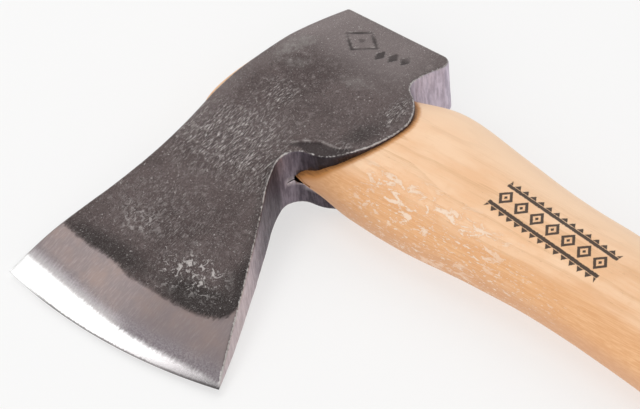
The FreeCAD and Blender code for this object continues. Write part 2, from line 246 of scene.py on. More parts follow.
def number_faces(piece, number):
    """Gives all faces one of two material numbers, which they keep through a cut."""
    mesh = piece.data
    mesh.materials.clear()
    mesh.materials.append(None)
    mesh.materials.append(None)
    numbers = np.full(len(mesh.polygons), number, np.int32)
    mesh.polygons.foreach_set("material_index", numbers)


def apply_modifiers(piece):
    bpy.context.view_layer.update()
    graph = bpy.context.evaluated_depsgraph_get()
    piece.data = bpy.data.meshes.new_from_object(piece.evaluated_get(graph))
    piece.modifiers.clear()


def cut(piece, tools):
    """Cuts the tools out of a piece, marks the faces that they made and removes the tools."""
    number_faces(piece, 0)
    for tool in tools:
        number_faces(tool, 1)
        modifier = piece.modifiers.new("cut", "BOOLEAN")
        modifier.operation = "DIFFERENCE"
        modifier.solver = "EXACT"
        modifier.object = tool
    apply_modifiers(piece)
    made = read(piece.data.polygons, "material_index", kind=np.int32)
    number_faces(piece, 0)
    keep_values(piece, "FACE", cut_face=made)
    for tool in tools:
        bpy.data.objects.remove(tool)
    return piece


def cut_rim(piece):
    """Places of the vertices where the faces made by a cut meet the other faces."""
    mesh = piece.data
    made = read(mesh.attributes["cut_face"].data, "value", kind=np.float32) > 0.5
    made = np.repeat(made, read(mesh.polygons, "loop_total", kind=int))
    vertex = read(mesh.loops, "vertex_index", kind=int)
    both = np.intersect1d(vertex[made], vertex[~made])
    return drawing_points(piece)[both]


def finish_piece(piece, node, material):
    """Lays the piece down in the row frame, attaches it to the root body and hides the CAD part that it
    stands for.
    """
    places = drawing_points(piece)
    layer = piece.data.attributes.new("drawing", "FLOAT_VECTOR", "POINT")
    layer.data.foreach_set("vector", places.astype(np.float32).ravel())
    piece.data.vertices.foreach_set("co", lay_down(places).ravel())
    piece.data.materials.clear()
    piece.data.materials.append(material)
    piece.data.shade_smooth()
    piece.data.update()
    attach(piece, "root")
    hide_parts(node)


# ---- outline of the head

LEFT, RIGHT, STRAIGHT = 1, -1, 0


def toe_or_heel(x):
    """Place on the arc of the cutting edge."""
    across = x - EDGE_CENTRE[0]
    return (x, EDGE_CENTRE[1] - math.sqrt(EDGE_RADIUS ** 2 - across ** 2))


# Corners from the toe round by the poll to the heel, each with the curve that follows it.
HEAD_OUTLINE = [
    (toe_or_heel(TOE_X), LEFT, 227.0),
    ((-5.2, -64.5), RIGHT, 172.0),
    ((-0.8, -24.0), STRAIGHT, 0.0),
    ((-0.8, -9.0), LEFT, 159.0),
    ((9.4, 36.4), LEFT, 1.3),
    ((10.6, POLL_FACE_Y), STRAIGHT, 0.0),
    ((48.4, POLL_FACE_Y), LEFT, 3.6),
    ((51.8, 32.5), RIGHT, 42.0),
    ((48.5, 21.5), RIGHT, 6.6),
    ((52.0, 16.0), LEFT, 15.5),
    ((58.6, 4.5), LEFT, 36.0),
    ((50.6, -15.2), LEFT, 14.0),
    ((40.2, -21.6), RIGHT, 6.5),
    ((34.2, -29.8), RIGHT, 55.0),
    ((39.9, -42.4), LEFT, 900.0),
    (toe_or_heel(69.5), LEFT, EDGE_RADIUS),
]
OUTLINE_STEP = 0.15


def curve_points(start, finish, turn, radius):
    """Points from start up to finish, along a line or the short arc."""
    start, finish = np.array(start), np.array(finish)
    chord = finish - start
    length = float(np.hypot(*chord))
    count = max(2, int(length / OUTLINE_STEP))
    part = np.arange(count)[:, None] / count
    points = start + chord * part
    if turn == STRAIGHT:
        return points
    left = np.array([-chord[1], chord[0]]) / length
    half = length / 2.0
    depth = math.sqrt(radius * radius - half * half)
    across = (part[:, 0] - 0.5) * length
    bulge = np.sqrt(radius * radius - across ** 2) - depth
    return points + turn * bulge[:, None] * left


def head_outline():
    """The outline as dense points from the toe round, and the number of the point at each corner."""
    stretches = []
    for number, (corner, turn, radius) in enumerate(HEAD_OUTLINE):
        following = HEAD_OUTLINE[(number + 1) % len(HEAD_OUTLINE)][0]
        stretches.append(curve_points(corner, following, turn, radius))
    starts = np.cumsum([0] + [len(points) for points in stretches])
    return np.concatenate(stretches), starts


OUTLINE, CORNER_START = head_outline()
POLL_TOP = (CORNER_START[4] + CORNER_START[5]) // 2  # middles of the poll's two rounded corners
POLL_LOW = (CORNER_START[6] + CORNER_START[7]) // 2
HEEL = CORNER_START[15]
# Stretches of the rim, from one corner of the outline to another.
TOP_RIM = (0, 6)
UPPER_TOP_RIM = (1, 4)
LUG_RIM = (8, 13)
MOUTH_RIM = (7, 14)
NOTCH_RIM = (12, 15)
BEARD_RIM = (13, 15)
EDGE_ROUND = 0.9  # rounded by forging and handling
THIN_ROUND = 0.35  # the most that the rounding takes, as a share of the half thickness


def outline_normals():
    """Outward direction at each outline point, averaged over a short stretch."""
    reach = 3
    way = np.roll(OUTLINE, -reach, 0) - np.roll(OUTLINE, reach, 0)
    way /= np.hypot(way[:, 0], way[:, 1])[:, None]
    return np.stack([-way[:, 1], way[:, 0]], 1)


OUTWARD = outline_normals()


def outline_distance(x, y, points=OUTLINE):
    """Distance in the plan from each place to the outline or to some of its points."""
    return nearest_distance(np.stack([x.ravel(), y.ravel()], 1), points).reshape(x.shape)


def rim_distance(x, y, rim):
    """Distance in the plan from one stretch of the outline."""
    first, last = rim
    return outline_distance(x, y, OUTLINE[CORNER_START[first]:CORNER_START[last]:3])


# ---- thickness of the head

WEDGE_SLOPE = math.tan(TILT)
POLL_SLOPE = (CHEEK_HALF - POLL_HALF) / (POLL_FACE_Y - POLL_START_Y)
CREASE = 0.25  # width of the softened line between two forged faces
GRIND_WIDE = 21.0  # how far in from the edge the sides are ground
EDGE_LAND = 0.15  # half thickness that the grind would leave at the edge
HONED_LAND = 0.02  # half thickness left by honing
# how far in from the edge the honed strip and the ground band reach, along the edge
HONED_X = (-11.8, 0.0, 9.0, 17.0, 26.0, 36.0, 46.0, 56.0, 64.0, 70.0)
HONED_WIDE = (6.9, 7.2, 6.9, 6.3, 5.5, 4.8, 4.3, 3.5, 2.3, 0.8)
GROUND_X = (-12.0, 0.0, 7.0, 15.0, 21.0, 28.0, 35.0, 41.0, 48.0, 55.0, 70.0)
GROUND_WIDE = (22.2, 22.2, 22.5, 22.7, 21.2, 21.1, 20.6, 20.2, 19.6, 20.0, 20.0)

forge_noise = Noise(11)
wall_noise = Noise(12)


def from_centre(x, y):
    """Distance from the centre of the cutting edge's arc."""
    return np.hypot(x - EDGE_CENTRE[0], y - EDGE_CENTRE[1])


def edge_run(x, y):
    """Distance in from the cutting edge."""
    return EDGE_RADIUS - from_centre(x, y)


def clean_wedge(y):
    """Half thickness of the tapered blade before it is ground."""
    return CHEEK_HALF - (WEDGE_START_Y - y) * WEDGE_SLOPE


def half_thickness(x, y):
    """Half thickness of the clean shape of the head."""
    poll = CHEEK_HALF - (y - POLL_START_Y) * POLL_SLOPE
    flat = np.full_like(x, CHEEK_HALF)
    height = smooth_min(smooth_min(flat, clean_wedge(y), CREASE), poll, CREASE)
    # the grind takes most at the edge and runs out into the forged side
    away = from_centre(x, y)
    run = np.maximum(EDGE_RADIUS - away, 0.0)
    edge_y = EDGE_CENTRE[1] + (y - EDGE_CENTRE[1]) * EDGE_RADIUS / away
    at_edge = clean_wedge(edge_y)
    left = np.maximum(1.0 - run / GRIND_WIDE, 0.0)
    height = height - (at_edge - EDGE_LAND) * left ** 2
    # the honed strip is a flat facet from the edge up to its own border
    wide = np.interp(x, HONED_X, HONED_WIDE)
    honed_top = at_edge + wide * WEDGE_SLOPE - (at_edge - EDGE_LAND) * (1.0 - wide / GRIND_WIDE) ** 2
    facet = HONED_LAND + (honed_top - HONED_LAND) * run / wide
    return np.where(run < wide, facet, height)


def corner_round(x, y):
    """Radius of the rounded edge between a side of the head and its rim."""
    return np.minimum(EDGE_ROUND, THIN_ROUND * half_thickness(x, y))


def hammer_marks(x, y, side):
    """Shallow hollows left by forging; none on the ground bevel."""
    depth = 0.10 * (1.0 + forge_noise(x, y, 40.0 * side, 13.0))
    depth += 0.035 * (1.0 + forge_noise(x, y, 90.0 * side, 4.5))
    return depth * rise(edge_run(x, y), 20.0, 30.0)


# The fold at the notch, where the lug was drawn out: a low step below this line.
FOLD = np.array([(31.0, -22.9), (33.1, -21.7), (35.5, -19.5), (38.3, -17.9), (40.9, -16.3),
                 (44.8, -16.1), (47.5, -15.4), (51.0, -12.6)])
FOLD_DEPTH = 0.42


def below_fold(x, y):
    """How far a place lies below the fold's line, towards the rim of the lug."""
    return np.interp(x, FOLD[:, 0], FOLD[:, 1]) - y


def fold_step(x, y):
    """Depth of the step between the fold's line and the rim of the lug."""
    depth = below_fold(x, y)
    below = rise(depth, -0.15, 0.45)
    ends = between(x, 31.0, 36.0, 47.0, 54.0)
    return FOLD_DEPTH * below * ends * (0.35 + 0.65 * fade(depth, 2.0, 7.0))


# Plain punched marks near the poll: a lozenge frame with a dot, and a row of three lozenges.
STAMP_DEPTH = 0.34
FRAME_CENTRE = (23.3, 26.8)
FRAME_HALF = (6.1, 5.2)
FRAME_LINE = 0.13  # as a share of the frame's size
DOT_RADIUS = 1.1
LOZENGE_FIRST = (32.4, 24.7)
LOZENGE_STEP = (4.0, 1.4)
LOZENGE_HALF = (1.75, 3.0)


def lozenge_reach(x, y, centre, half):
    """1 on the border of a lozenge, less inside it."""
    return np.abs(x - centre[0]) / half[0] + np.abs(y - centre[1]) / half[1]


def stamps(x, y):
    """How deeply the punched marks are struck, from 0 to 1."""
    line = np.abs(lozenge_reach(x, y, FRAME_CENTRE, FRAME_HALF) - 1.0)
    mark = fade(line, FRAME_LINE * 0.6, FRAME_LINE * 1.5)
    away = np.hypot(x - FRAME_CENTRE[0], y - FRAME_CENTRE[1])
    mark = np.maximum(mark, fade(away, DOT_RADIUS * 0.7, DOT_RADIUS * 1.2))
    for number in range(3):
        centre = (LOZENGE_FIRST[0] + number * LOZENGE_STEP[0],
                  LOZENGE_FIRST[1] + number * LOZENGE_STEP[1])
        inside = lozenge_reach(x, y, centre, LOZENGE_HALF)
        mark = np.maximum(mark, fade(inside, 0.75, 1.15))
    return mark * (0.8 + 0.2 * forge_noise(x, y, 5.0, 3.0))


def side_height(x, y, side):
    """Height of the upper (+1) or lower (-1) side above the middle plane, marks included."""
    height = half_thickness(x, y) - hammer_marks(x, y, side)
    if side > 0:
        height = height - fold_step(x, y) - STAMP_DEPTH * stamps(x, y)
    return np.maximum(height, HONED_LAND * 0.5)


# ---- head mesh

RIM_ANGLES = np.radians([45.0, 60.0, 75.0, 90.0])  # from the rim's middle to the side
RIM_TURNS = np.radians([30.0, 15.0])  # the rim's rounding, down to its flat wall
HALF_ROUND = math.sin(math.pi / 4)
WALL_FLATS = 9
COLUMNS = 120
FINE_STEP, PLAIN_STEP = 0.32, 0.62  # between rows
LAST_PLAIN = 1.3  # the plain rows end this far before the poll face
LEAST_SLANT = 0.35  # rows that meet the rim flatter than this are treated alike


def row_levels():
    """Where the rows lie, as shares of the way from the edge to the poll; closer at fine shape."""
    levels = [0.0, 0.15, 0.3, 0.5, 0.8, 1.2, 1.7, 2.3, 3.0]
    total = POLL_FACE_Y - toe_or_heel(TOE_X)[1]
    while levels[-1] < total:
        y = levels[-1] - total + POLL_FACE_Y
        fine = 19.5 < y < 31.0 or -25.0 < y < -13.0
        levels.append(levels[-1] + (FINE_STEP if fine else PLAIN_STEP))
    levels = np.array(levels[:-3])
    last = EDGE_ROUND * (1.0 - np.cos(RIM_ANGLES))
    levels = np.concatenate([levels[levels < total - LAST_PLAIN], total - last[::-1] + last[0]])
    return levels / total


def boundary(first, last, way=1):
    """Part of the outline between two of its point numbers, with normals and inset points."""
    numbers = np.arange(first, last + 1)[::way] % len(OUTLINE)
    points, normals = OUTLINE[numbers], OUTWARD[numbers]
    radius = corner_round(points[:, 0], points[:, 1])
    inset = points - normals * (radius * (1.0 - HALF_ROUND))[:, None]
    return {"points": points, "normals": normals, "radius": radius, "inset": inset}


def along(line, key, part):
    """One column of a boundary at fractions of its number of points."""
    value = line[key]
    at = part * (len(value) - 1)
    base = np.arange(len(value))
    if value.ndim == 1:
        return np.interp(at, base, value)
    return np.stack([np.interp(at, base, column) for column in value.T], -1)


def by_level(line, levels):
    """Fractions of a boundary's points at which y has come the given share of its way."""
    y = line["points"][:, 1]
    share = (y - y[0]) / (y[-1] - y[0])
    share = np.maximum.accumulate(share) + np.arange(len(share)) * 1e-9
    return np.interp(levels, share, np.arange(len(share))) / (len(share) - 1)


def rim_rings(line, at, ways):
    """Distances of the first columns from the rim, so that they follow its rounding."""
    slant = np.abs((along(line, "normals", at) * ways).sum(1))
    ring = along(line, "radius", at)[:, None] * (HALF_ROUND - np.cos(RIM_ANGLES))
    return ring / np.maximum(slant, LEAST_SLANT)[:, None]


def wall_lumps(x, y, z):
    """Unevenness of the forged wall, with marks that run across it."""
    return 0.10 * wall_noise(x, y, z, 5.0) + 0.06 * wall_noise(x * 3.0, y * 3.0, z * 0.25, 3.0)


def build_head():
    """Two sides laid out from the top line to the handle side, and the wall between them."""
    top, poll = boundary(0, POLL_TOP), boundary(POLL_TOP, POLL_LOW)
    lower, edge = boundary(POLL_LOW, HEEL, -1), boundary(HEEL, len(OUTLINE), -1)
    levels = row_levels()
    top_at, low_at = by_level(top, levels), by_level(lower, levels)
    top_in, low_in = along(top, "inset", top_at), along(lower, "inset", low_at)

    # where the columns of each row stand, as shares of its width
    ways = low_in - top_in
    widths = np.hypot(ways[:, 0], ways[:, 1])[:, None]
    ways = ways / widths
    first, final = rim_rings(top, top_at, ways), widths - rim_rings(lower, low_at, ways)
    middle = COLUMNS - 2 * len(RIM_ANGLES)
    inner = np.linspace(first[:, -1], final[:, -1], middle + 2, axis=1)[:, 1:-1]
    share = np.hstack([first, inner, final[:, ::-1]]) / widths

    up, across = levels[:, None, None], share[:, :, None]

    def bowed(line, row):
        """How far an end of the head bows out from the straight row between its corners."""
        return along(line, "inset", share) - ((1 - across) * top_in[row] + across * low_in[row])

    plan = (1 - across) * top_in[:, None] + across * low_in[:, None]
    plan = plan + (1 - up) * bowed(edge, 0) + up * bowed(poll, -1)
    plan[0, 0], plan[0, -1] = top_in[0], low_in[0]

    x, y = plan[..., 0], plan[..., 1]
    radius = corner_round(x, y)
    inside = np.clip(radius - outline_distance(x, y), 0.0, None)
    drop = radius - np.sqrt(np.maximum(radius ** 2 - inside ** 2, 0.0))
    points = [np.stack([x, y, side * (side_height(x, y, side) - drop)], -1).reshape(-1, 3)
              for side in (1, -1)]
    grid = np.arange(x.size).reshape(x.shape)
    upper = sheet_faces(grid)
    under = grid.size + np.roll(upper, -1, axis=1)

    # the wall, once round: top line, poll, handle side, edge
    rim = border(grid)
    lines = ((top, top_at), (poll, share[-1, 1:-1]), (lower, low_at[::-1]), (edge, share[0, -2:0:-1]))
    base, normal, rounding = [np.concatenate([along(line, key, at) for line, at in lines])
                              for key in ("points", "normals", "radius")]
    top_flat = points[0][rim, 2] - rounding * HALF_ROUND
    low_flat = points[1][rim, 2] + rounding * HALF_ROUND
    turns = [(rounding * math.sin(turn), 1.0 - math.cos(turn)) for turn in RIM_TURNS]
    strip = [(top_flat + lift, pull) for lift, pull in turns]
    strip += [(top_flat + (low_flat - top_flat) * step / WALL_FLATS, 0.0)
              for step in range(WALL_FLATS + 1)]
    strip += [(low_flat - lift, pull) for lift, pull in turns[::-1]]
    base_x, base_y = base.T
    forged = rise(edge_run(base_x, base_y), 8.0, 25.0)
    for z, pull in strip:
        lumps = np.clip(0.10 - wall_lumps(base_x, base_y, z), 0.0, 1.0)
        inset = rounding * pull + lumps * forged
        points.append(np.column_stack([base - normal * inset[:, None], z]))
    rings = 2 * grid.size + np.arange(len(strip) * len(rim)).reshape(len(strip), -1)
    wall = ring_faces(np.vstack([rim, rings, grid.size + rim]))
    return mesh_object("forged_head", np.concatenate(points), upper, under, wall)


# ---- handle shape

# Oval sections: distance along the handle, front and back of the oval, half thickness.
HANDLE_SECTIONS = np.array([
    (-6.0, -20.0, 21.0, 9.2), (4.0, -19.8, 20.8, 8.9), (13.0, -19.5, 20.5, 8.6),
    (21.0, -19.5, 20.5, 8.5), (29.0, -20.2, 20.5, 8.6), (37.0, -23.4, 20.5, 9.4),
    (46.0, -24.6, 20.6, 10.5), (54.0, -25.7, 22.8, 11.3), (62.0, -26.5, 25.1, 12.0),
    (70.0, -27.1, 25.4, 12.4), (82.0, -27.2, 23.4, 12.6), (98.0, -26.0, 20.2, 12.4),
    (118.0, -25.4, 16.9, 12.2), (140.0, -26.6, 14.7, 12.0), (168.0, -30.0, 9.2, 11.6),
    (204.0, -34.8, 2.6, 11.2), (240.0, -35.4, -0.6, 11.0), (275.0, -31.8, 0.2, 11.1),
    (303.0, -31.0, 3.4, 11.6), (325.0, -34.6, 6.6, 12.4), (341.0, -39.2, 8.2, 12.62),
    (348.0, -39.4, 7.6, 11.9), (350.5, -37.6, 5.8, 10.6),
])
HANDLE_END = 350.5
TONGUE_TOP = -2.4  # on the centre line of the eye
TONGUE_SLANT = math.tan(math.radians(8.9))
EYE_GAP = 0.12
EYE_COLUMNS = 120
HANDLE_COLUMNS = 150
EYE_RELIEF = 1.0  # room left below the wood at the front of the eye's mouth
POINTED = 0.5  # how much the oval thins to a point at the front of the mouth

handle_noise = Noise(21)


def section_sizes(x):
    """Front and back of the oval and its half thickness, at places along the handle."""
    knots = HANDLE_SECTIONS[:, 0]
    return [spline(knots, HANDLE_SECTIONS[:, column], x) for column in (1, 2, 3)]


def fullness(x):
    """Power of the oval: squarer than an ellipse, most of all at the top of the eye."""
    return np.interp(x, (-6.0, 8.0, 34.0, 46.0, 56.0, 75.0), (2.8, 2.4, 2.2, 2.34, 2.26, 2.13))


def oval(x, turn, extra=0.0):
    """Points of the handle's sections; turn 0 is the back, a quarter turn is the upper side."""
    front, back, half = section_sizes(x)
    power = 2.0 / fullness(x)
    across, up = np.cos(turn), np.sin(turn)
    reach = (back - front) / 2.0 + extra
    forward = -np.sign(across) * np.abs(across) ** power
    y = (front + back) / 2.0 - reach * forward
    z = (half + extra) * np.sign(up) * np.abs(up) ** power
    pinch = between(x, 33.0, 38.0, 42.0, 58.0)
    start = np.where(up > 0.0, 0.76, 0.58)
    return y, z * (1.0 - POINTED * pinch * rise(forward, start, 1.0))


def oval_grid(rows, columns):
    """Places along the handle and turns round it, as two grids."""
    return np.meshgrid(rows, np.arange(columns) / columns * 2 * math.pi, indexing="ij")


def tube(name, x, y, z, end_rings):
    """A closed tube through ovals, each end filled with rings drawn in to its middle."""
    grid = np.arange(x.size).reshape(x.shape)
    columns = grid.shape[1]
    points = np.stack([x, y, z], -1).reshape(-1, 3)
    groups = [ring_faces(grid)]
    for ring, steps in zip((grid[0], grid[-1]), end_rings):
        edge = points[ring]
        centre = edge.mean(0)
        shares = 1.0 - np.arange(1, steps) / steps
        drawn_in = centre + (edge - centre) * shares[:, None, None]
        added = len(points) + np.arange((steps - 1) * columns).reshape(-1, columns)
        rings = np.vstack([ring, added])
        tip = np.full(columns, added[-1, -1] + 1)
        groups += [ring_faces(rings), np.column_stack([rings[-1], np.roll(rings[-1], -1), tip])]
        points = np.concatenate([points, drawn_in.reshape(-1, 3), centre[None]])
    return mesh_object(name, points, *groups)


def build_eye_tool():
    """The space that the eye leaves for the handle, with a hair of room all round."""
    rows = np.concatenate([np.arange(-8.0, 30.0, 1.2), np.arange(30.0, 72.0, 0.8)])
    x, turn = oval_grid(rows, EYE_COLUMNS)
    lower_front = between(turn, 2.95, 3.15, 3.6, 4.1)
    relief = between(x, 31.0, 35.5, 41.0, 47.0) * lower_front
    y, z = oval(np.maximum(x, -6.0), turn, EYE_GAP + EYE_RELIEF * relief)
    return tube("eye_tool", x, y, z, (3, 3))


def build_slit_tool():
    """The thin open seam that runs from the front of the eye's mouth into the notch."""
    start = [(34.3, -27.2, -1.9), (34.3, -27.2, -1.75), (33.4, -20.0, -0.5), (33.4, -20.0, 0.5)]
    finish = [(41.0, y, z) for _, y, z in start]
    faces = [(0, 2, 3, 1), (4, 5, 7, 6), (0, 1, 5, 4), (2, 6, 7, 3), (0, 4, 6, 2), (1, 3, 7, 5)]
    return mesh_object("slit_tool", start + finish, faces)


def tear_out(x, y, z):
    """Depth of small chips lifted from the grain low on the front, just below the head."""
    zone = between(x, 50.0, 64.0, 108.0, 128.0) * rise(-y, 6.0, 17.0) * rise(z, -2.0, 4.0)
    patch = rise(handle_noise(x * 0.45, y * 1.1, z * 1.1, 2.6), 0.05, 0.55)
    return 0.20 * zone * patch


def handle_relief(x, y, z, turn):
    """How far the surface stands in from the clean oval."""
    flats = 0.12 * (1.0 + handle_noise(x * 0.12, 3.0 * np.cos(turn), 3.0 * np.sin(turn), 1.7))
    ripple = 0.03 * (1.0 + handle_noise(x * 0.3, y, z, 3.0))
    return (flats + ripple) * rise(x, 36.0, 70.0) + tear_out(x, y, z)


def build_handle():
    """The whole stick, its ovals pressed in by the relief and its top cut on a slant."""
    rows = np.concatenate([
        np.arange(TONGUE_TOP, 30.0, 1.0), np.arange(30.0, 130.0, 0.55),
        np.arange(130.0, 335.0, 0.9), np.arange(335.0, 348.0, 0.6),
        np.linspace(348.0, HANDLE_END, 9)])
    x, turn = oval_grid(rows, HANDLE_COLUMNS)
    y, z = oval(x, turn)
    relief = handle_relief(x, y, z, turn)
    front, back, half = section_sizes(x)
    steep_y = (y - (front + back) / 2) / ((back - front) / 2) ** 2
    steep_z = z / half ** 2
    steep = np.hypot(steep_y, steep_z)
    y = y - steep_y / steep * relief
    z = z - steep_z / steep * relief
    slant = TONGUE_SLANT * y * fade(x, TONGUE_TOP, 14.0)
    return tube("hickory_handle", x + slant, y, z, (8, 14))


# ---- wedge and staple

KERF_HALF = 0.4
KERF_END = 42.0
WEDGE_TIP = 34.0
WEDGE_TAPER = 0.058
WEDGE_PROUD = 0.5
HAIR = 0.02  # room between the small pieces and what holds them
SLAB_COLUMNS = 41


def slab(name, x_rows, half_at, reach):
    """A tapered slab along the tongue; half_at gives its half thickness, reach its y limits."""
    across = np.linspace(0.0, 1.0, SLAB_COLUMNS)
    points = []
    for side in (1, -1):
        for x in x_rows:
            half = half_at(x)
            low, high = reach(x, half)
            points += [(x, low + (high - low) * share, side * half) for share in across]
    upper, under = np.arange(len(points)).reshape(2, len(x_rows), SLAB_COLUMNS)
    wall = ring_faces(np.vstack([border(upper), border(under)]))
    return mesh_object(name, points, sheet_faces(upper), sheet_faces(under), wall)


def wedge_half(x):
    return KERF_HALF + max(WEDGE_TIP - x, 0.0) * WEDGE_TAPER


def tongue_reach(x, half):
    """How far the tongue reaches front and back at a height above its middle."""
    front, back, thick = (float(value[0]) for value in section_sizes(np.array([x])))
    middle, reach = (front + back) / 2, (back - front) / 2
    power = float(fullness(x))
    spread = reach * max(1.0 - (half / thick) ** power, 0.0) ** (1.0 / power)
    return middle - spread, middle + spread


def build_kerf_tool():
    x_rows = (TONGUE_TOP - 8.0, WEDGE_TIP, KERF_END)
    return slab("kerf_tool", x_rows, wedge_half, lambda x, half: (-40.0, 40.0))


def build_wedge():
    """The wedge, a hair thinner than the kerf, slanted with the tongue and crushed on top."""
    x_rows = np.linspace(TONGUE_TOP - WEDGE_PROUD, WEDGE_TIP, 40)
    piece = slab("wooden_wedge", x_rows, lambda x: wedge_half(x) - HAIR, tongue_reach)
    points = drawing_points(piece)
    points[:, 0] += TONGUE_SLANT * points[:, 1] * fade(points[:, 0], TONGUE_TOP - WEDGE_PROUD, 12.0)
    x, y, z = points.T
    points[:, 0] += 0.12 * handle_noise(x, y, z, 1.8) * (x < 2.0)
    piece.data.vertices.foreach_set("co", (points * MM).ravel())
    return piece


STAPLE_LENGTH = 21.0
STAPLE_THICK = 2.2
STAPLE_BAR = 3.2
STAPLE_LEG = 14.0
STAPLE_LEG_WIDE = 4.6
STAPLE_PROUD = 0.5
STAPLE_TURN = math.radians(32.0)
STAPLE_MIDDLE_Y = 0.5


def build_staple(name, proud, grow):
    """Three tapered legs under a bar, turned across the wedge."""
    half, leg = STAPLE_LENGTH / 2, STAPLE_LEG_WIDE
    tip = STAPLE_BAR + STAPLE_LEG
    outline = [(-proud, -half), (tip, -half), (STAPLE_BAR, -half + leg), (STAPLE_BAR, -leg / 2),
               (tip, 0.0), (STAPLE_BAR, leg / 2), (STAPLE_BAR, half - leg), (tip, half),
               (-proud, half)]
    thick = STAPLE_THICK / 2 + grow
    cosine, sine = math.cos(STAPLE_TURN), math.sin(STAPLE_TURN)
    points = []
    for z in (thick, -thick):
        for x, y in outline:
            turned_y = y * cosine - z * sine
            down = x + TONGUE_TOP - STAPLE_PROUD + TONGUE_SLANT * turned_y
            points.append((down, turned_y + STAPLE_MIDDLE_Y, y * sine + z * cosine))
    sides = np.arange(len(points)).reshape(2, -1)
    return mesh_object(name, points, sides, ring_faces(sides))


def build_staple_tool():
    """The staple's socket, a hair wider than the staple and open at the top."""
    return build_staple("staple_tool", 4.0, HAIR)


def soften_staple(piece):
    modifier = piece.modifiers.new("soft_edges", "BEVEL")
    modifier.width = 0.3 * MM
    modifier.segments = 3
    apply_modifiers(piece)


# ---- materials

class Shader:
    """A node material. An input is a socket, a number, a colour or the name of a stored value."""

    def __init__(self, name):
        self.material = bpy.data.materials.new(name)
        self.material.use_nodes = True
        self.tree = self.material.node_tree
        self.tree.nodes.clear()

    def add(self, kind, inputs, **settings):
        node = self.tree.nodes.new("ShaderNode" + kind)
        for key, value in settings.items():
            setattr(node, key, value)
        for key, value in inputs.items():
            socket = node.inputs[key]
            if isinstance(value, str):
                value = self.value(value)
            if isinstance(value, bpy.types.NodeSocket):
                self.tree.links.new(value, socket)
            else:
                socket.default_value = (*value, 1.0) if socket.type == "RGBA" else value
        return node

    def math(self, operation, *values):
        return self.add("Math", dict(enumerate(values)), operation=operation).outputs[0]

    def times(self, first, second):
        return self.math("MULTIPLY", first, second)

    def plus(self, first, second):
        return self.math("ADD", first, second)

    def larger(self, first, second):
        return self.math("MAXIMUM", first, second)

    def line(self, value, slope, offset):
        """The value times the slope, plus the offset."""
        return self.math("MULTIPLY_ADD", value, slope, offset)

    def jitter(self, value, noise, width):
        """The value moved up and down by noise, to make its border ragged."""
        return self.plus(value, self.line(noise, width, -width / 2))

    def step(self, value, low, high):
        """0 below low, 1 above high, smooth between."""
        return self.add("MapRange", {"Value": value, "From Min": low, "From Max": high},
                        interpolation_type="SMOOTHSTEP").outputs[0]

    def noise(self, scale, detail, rough, distort=0.0, turn=0.0):
        """Noise from 0 to 1; a scale of three numbers stretches it along the axes."""
        place = self.turned(self.place(), turn) if turn else self.place()
        if isinstance(scale, tuple):
            place = self.add("Mapping", {"Vector": place, "Scale": scale}).outputs[0]
            scale = 1.0
        return self.add("TexNoise", {"Vector": place, "Scale": scale, "Detail": detail,
                                     "Roughness": rough, "Distortion": distort}).outputs[0]

    def turned(self, place, angle):
        return self.add("VectorRotate", {"Vector": place, "Angle": angle},
                        rotation_type="Z_AXIS").outputs[0]

    def split(self, place):
        return self.add("SeparateXYZ", {0: place}).outputs

    def blend(self, share, first, second):
        return self.add("Mix", {0: share, 6: first, 7: second}, data_type="RGBA").outputs[2]

    def mix(self, share, first, second):
        return self.add("Mix", {0: share, 2: first, 3: second}, data_type="FLOAT").outputs[0]

    def paint(self, colour, *coats):
        """Lays coats over a colour: where each one lies, how thickly if not fully, its colour."""
        for share, *strength, coat in coats:
            for part in strength:
                share = self.times(share, part)
            colour = self.blend(share, colour, coat)
        return colour

    def value(self, name, output="Fac"):
        return self.add("Attribute", {}, attribute_name=name).outputs[output]

    def place(self):
        return self.value("drawing", "Vector")

    def surface(self, inputs, relief=None, strength=1.0, distance=0.001):
        """Ends the material, with a relief if there is one."""
        if relief is not None:
            bump = self.add("Bump", {"Height": relief, "Strength": strength, "Distance": distance})
            inputs["Normal"] = bump.outputs[0]
        shader = self.add("BsdfPrincipled", inputs)
        self.add("OutputMaterial", {"Surface": shader.outputs[0]})
        return self.material


